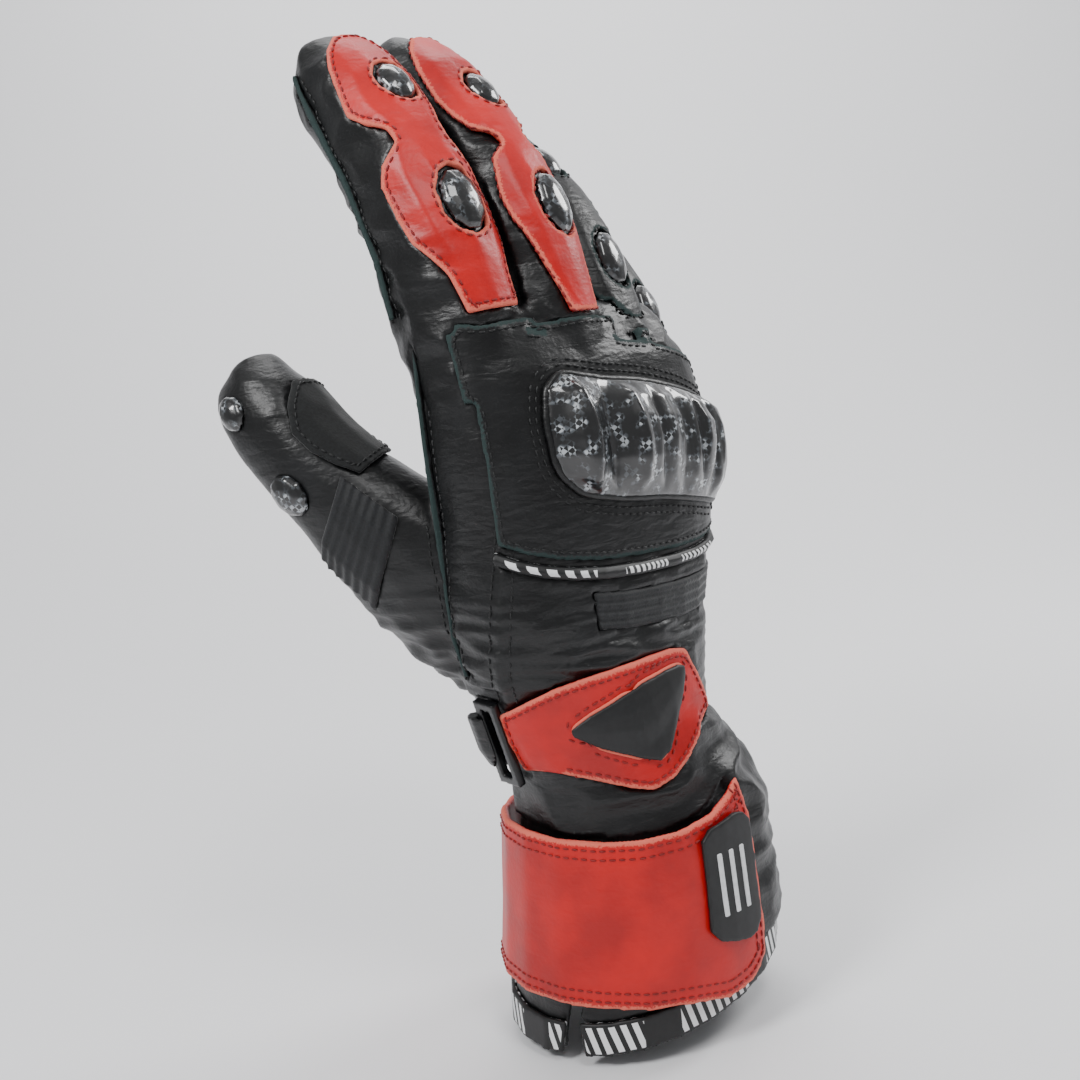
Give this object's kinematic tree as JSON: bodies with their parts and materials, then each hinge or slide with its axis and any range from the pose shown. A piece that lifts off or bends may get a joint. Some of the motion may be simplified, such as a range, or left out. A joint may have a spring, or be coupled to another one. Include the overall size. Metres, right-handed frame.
{
  "type": "motorcycle gauntlet",
  "caption": "Right-hand motorcycle gauntlet in black and red leather with carbon knuckle guard, wrist strap and cuff flap.",
  "frame": {"origin": "middle of the wrist opening inside the glove, where a hand holds it", "axes": "+Z from the cuff to the fingertips, -Y out of the back of the hand, -X towards the thumb"},
  "size_m": [0.1178, 0.1158, 0.2742],
  "materials": {
    "black_leather": "fine grain, semi-matt",
    "red_leather": "fine grain, satin",
    "carbon": "clear gloss over woven fibre",
    "black_rubber": "matt",
    "black_plastic": "satin",
    "stretch_fabric": "soft, ribbed"
  },
  "bodies": {
    "root": {"hand_shell": "black_leather", "gauntlet_sleeve": "black_leather", "sleeve_binding": "black_rubber", "cuff_flap": "red_leather", "flap_badge": "black_rubber", "wrist_strap": "red_leather", "strap_pad": "black_rubber", "strap_ring": "black_plastic", "ring_loop": "black_leather", "knuckle_panel": "black_leather", "knuckle_guard": "carbon", "index_overlay": "red_leather", "middle_overlay": "red_leather", "ring_overlay": "black_leather", "little_overlay": "black_leather", "index_tip_cap": "carbon", "index_joint_cap": "carbon", "middle_tip_cap": "carbon", "middle_joint_cap": "carbon", "ring_tip_cap": "carbon", "ring_joint_cap": "carbon", "little_joint_cap": "carbon", "thumb_tip_cap": "carbon", "thumb_joint_cap": "carbon", "thumb_patch": "black_leather", "thumb_stretch_panel": "stretch_fabric", "back_stretch_panel": "stretch_fabric", "back_piping": "black_rubber", "index_side_welt": "black_leather", "palm_edge_welt": "black_leather"}
  },
  "joints": []
}
